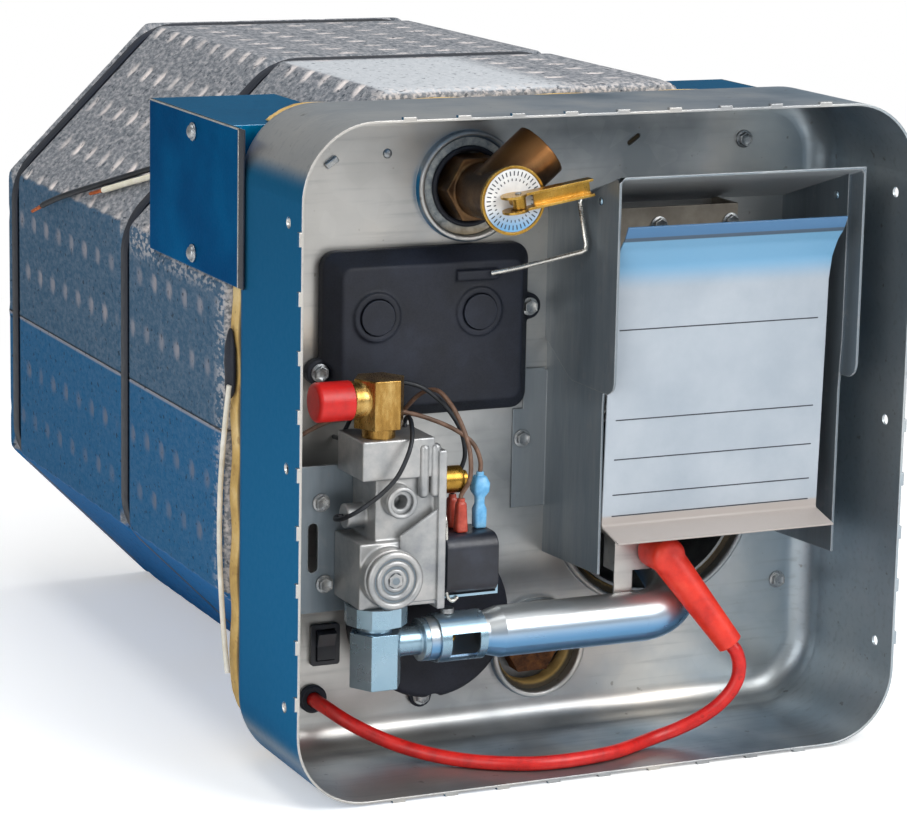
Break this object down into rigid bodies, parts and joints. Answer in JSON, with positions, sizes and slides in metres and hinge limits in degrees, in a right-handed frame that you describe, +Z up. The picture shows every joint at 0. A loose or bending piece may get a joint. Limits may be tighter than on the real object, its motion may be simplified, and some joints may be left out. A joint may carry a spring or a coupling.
{
  "type": "caravan water heater",
  "caption": "Gas and electric storage water heater for a caravan: square control housing with gas valve, burner and vent in front of a foam-clad tank.",
  "frame": {"origin": "on the base plane, below the middle of the heater from its front rim to the ends of its water couplings", "axes": "-Y out of the open front, +X to the right as seen from the front, +Z up"},
  "size_m": [0.3346, 0.47, 0.3224],
  "materials": {
    "galvanised": "galvanised sheet, satin, with a faint grain",
    "pad": "cream fibre pad",
    "foam": "moulded bead foam",
    "strap": "woven strap",
    "tank_metal": "bare steel",
    "box_metal": "coated steel, satin",
    "lead": "insulated copper leads",
    "board": "potted circuit board",
    "brass": "worn brass",
    "fibre": "grey fibre ring",
    "steel": "plated steel",
    "black_rubber": "soft black rubber",
    "black_plastic": "black moulding",
    "diecast": "die-cast, sand-like grain",
    "zinc": "zinc plated",
    "red_plastic": "red plastic",
    "spade": "nylon-covered spade terminals",
    "wire": "thin insulated wires",
    "aluminised": "aluminised tube, satin",
    "ceramic": "white ceramic",
    "red_silicone": "red silicone",
    "hood_metal": "galvanised sheet, darker",
    "label": "bare pale plate",
    "anode": "cast rod"
  },
  "bodies": {
    "heater": {"control_housing": "galvanised", "insulation_pad": "pad", "foam_upper": "foam", "foam_lower": "foam", "foam_straps": "strap", "tank": "tank_metal", "flue_tube": "tank_metal", "hot_coupling": "steel", "cold_coupling": "steel", "box_left": "box_metal", "box_right": "box_metal", "box_covers": "box_metal", "ignition_module": "board", "supply_leads": "lead", "relief_valve": "brass", "relief_seal": "fibre", "relief_tag": "brass", "relief_spring": "steel", "thermostat_cover": "black_rubber", "thermostat_switches": "black_plastic", "gas_valve": "diecast", "regulator_cap": "diecast", "inlet_elbow": "brass", "inlet_cap": "red_plastic", "test_plug": "brass", "solenoid_coil": "black_plastic", "coil_yoke": "zinc", "coil_terminals": "spade", "valve_leads": "wire", "valve_bracket": "galvanised", "outlet_nut": "zinc", "outlet_elbow": "zinc", "gas_orifice": "brass", "burner_tube": "aluminised", "electrode_bracket": "zinc", "spark_electrode": "ceramic", "electrode_boot": "red_silicone", "ignition_cable": "red_silicone", "cable_grommet": "black_rubber", "rocker_housing": "black_plastic", "element_cover": "black_rubber", "heating_element": "steel", "anode_plug": "brass", "anode_rod": "anode", "vent_hood": "hood_metal", "vent_channel": "galvanised", "vent_baffle": "galvanised", "label_plate": "label", "sheet_screws": "steel"},
    "relief_stem": {"relief_stem": "brass", "lever_pin": "steel"},
    "relief_lever": {"relief_lever": "brass"},
    "reset_button_left": {"reset_button_left": "black_rubber"},
    "reset_button_right": {"reset_button_right": "black_rubber"},
    "retainer_wire": {"retainer_wire": "steel"},
    "valve_plunger": {"valve_plunger": "steel"},
    "air_shutter": {"air_shutter": "zinc", "shutter_screw": "steel"},
    "rocker": {"rocker": "black_plastic"}
  },
  "joints": [
    {"name": "relief_stem_slide", "type": "slide", "parent": "heater", "child": "relief_stem", "axis": [0, -1, 0], "range_m": [0, 0.004], "deforming": ["relief_spring"]},
    {"name": "relief_lever_hinge", "type": "hinge", "parent": "relief_stem", "child": "relief_lever", "pos_m": [-0.04, -0.2085, 0.277], "axis": [0.1564, 0, -0.9877], "range_deg": [0, 90]},
    {"name": "rocker_hinge", "type": "hinge", "parent": "heater", "child": "rocker", "pos_m": [-0.112, -0.151, 0.055], "axis": [-1, 0, 0], "range_deg": [0, 16]},
    {"name": "reset_left_press", "type": "slide", "parent": "heater", "child": "reset_button_left", "axis": [0, 1, 0], "range_m": [0, 0.0025], "stiffness_N_per_m": 400},
    {"name": "reset_right_press", "type": "slide", "parent": "heater", "child": "reset_button_right", "axis": [0, 1, 0], "range_m": [0, 0.0025], "stiffness_N_per_m": 400},
    {"name": "shutter_turn", "type": "hinge", "parent": "heater", "child": "air_shutter", "pos_m": [-0.062, -0.195, 0.066], "axis": [1, 0, 0], "range_deg": [-30, 30]},
    {"name": "retainer_swing", "type": "hinge", "parent": "heater", "child": "retainer_wire", "pos_m": [0.005, -0.19, 0.275], "axis": [-1, 0, 0], "range_deg": [0, 60]},
    {"name": "plunger_slide", "type": "slide", "parent": "heater", "child": "valve_plunger", "axis": [1, 0, 0], "range_m": [0, 0.004], "stiffness_N_per_m": 300}
  ],
  "couplings": [
    {"joint": "relief_stem_slide", "follows": "relief_lever_hinge", "m_per_rad": 0.002546}
  ]
}
